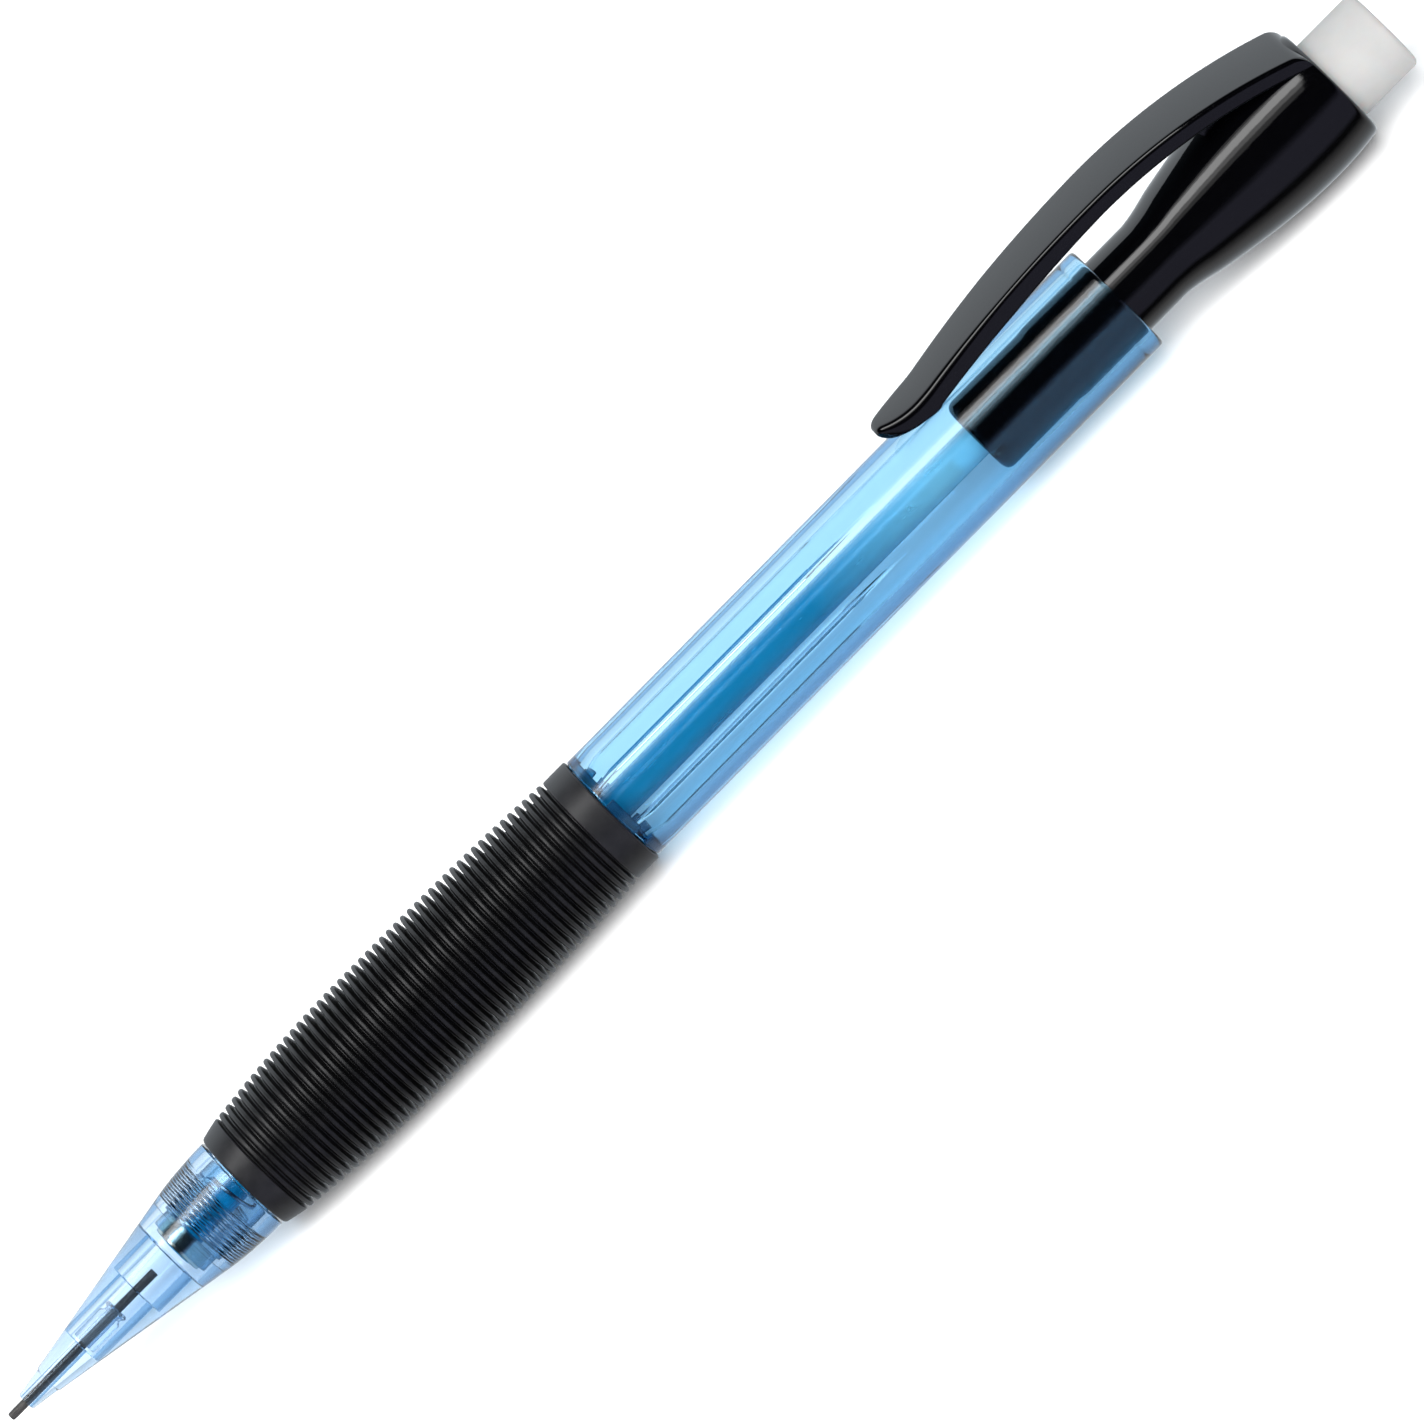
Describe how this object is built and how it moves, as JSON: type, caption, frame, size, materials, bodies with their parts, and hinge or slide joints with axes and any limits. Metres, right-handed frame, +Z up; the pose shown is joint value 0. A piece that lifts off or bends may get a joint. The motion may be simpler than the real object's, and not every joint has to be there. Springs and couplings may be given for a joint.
{
  "type": "mechanical pencil",
  "caption": "Push-button mechanical pencil with a clear blue barrel, ribbed rubber grip, clear screw-on nose, black cap with a one-piece pocket clip, and a white eraser.",
  "frame": {"origin": "Half way along the pencil and across it, on the surface that the grip's belly rests on.", "axes": "+X along the pencil from the lead point to the eraser, +Z up through the pocket clip, +Y across it. The pencil's own axis is parallel to X, 5.61 mm above z = 0."},
  "size_m": [0.1472, 0.0112, 0.0144],
  "materials": {
    "clear_pale": "clear pale blue moulded styrene, glossy",
    "retainer_rubber": "soft grey-blue rubber, matt",
    "graphite": "polymer graphite lead, satin dark grey",
    "clear_blue": "clear sky-blue moulded styrene, glossy",
    "grip_rubber": "black ribbed rubber, matt with satin collars",
    "brass": "turned brass, bright",
    "tube_plastic": "blue translucent polypropylene, satin",
    "spring_steel": "bright drawn spring wire",
    "black_plastic": "black moulded ABS, glossy",
    "eraser_vinyl": "white vinyl, matt"
  },
  "bodies": {
    "body": {"barrel": "clear_blue", "grip": "grip_rubber", "chuck_spring": "spring_steel"},
    "pusher": {"push_cap": "black_plastic", "lead_tube": "tube_plastic", "chuck_coupler": "tube_plastic", "chuck": "tube_plastic", "spare_lead_1": "graphite", "spare_lead_2": "graphite", "spare_lead_3": "graphite"},
    "clip": {"pocket_clip": "black_plastic"},
    "eraser": {"eraser": "eraser_vinyl"},
    "clutch": {"clutch_ring": "brass", "feed_lead": "graphite"},
    "nose": {"nose_cone": "clear_pale", "lead_retainer": "retainer_rubber"},
    "stub": {"lead_stub": "graphite"}
  },
  "joints": [
    {"name": "push_button", "type": "slide", "parent": "body", "child": "pusher", "axis": [-1, 0, 0], "range_m": [0, 0.0036], "stiffness_N_per_m": 600, "springref_m": -0.0025, "deforming": ["chuck_spring"]},
    {"name": "lead_feed", "type": "slide", "parent": "body", "child": "clutch", "axis": [-1, 0, 0], "range_m": [0, 0.0006]},
    {"name": "clip_flex", "type": "hinge", "parent": "pusher", "child": "clip", "pos_m": [0.05765, 0, 0.01294], "axis": [0, 1, 0], "range_deg": [0, 4.5], "stiffness_Nm_per_rad": 1.5},
    {"name": "eraser_pull", "type": "slide", "parent": "pusher", "child": "eraser", "axis": [1, 0, 0], "range_m": [0, 0.016]},
    {"name": "nose_removal", "type": "slide", "parent": "body", "child": "nose", "axis": [-1, 0, 0], "range_m": [0, 0.012]},
    {"name": "stub_feed", "type": "slide", "parent": "nose", "child": "stub", "axis": [-1, 0, 0], "range_m": [0, 0.0142]}
  ],
  "couplings": [
    {"joint": "lead_feed", "follows": "push_button", "ratio": 0.16667}
  ]
}
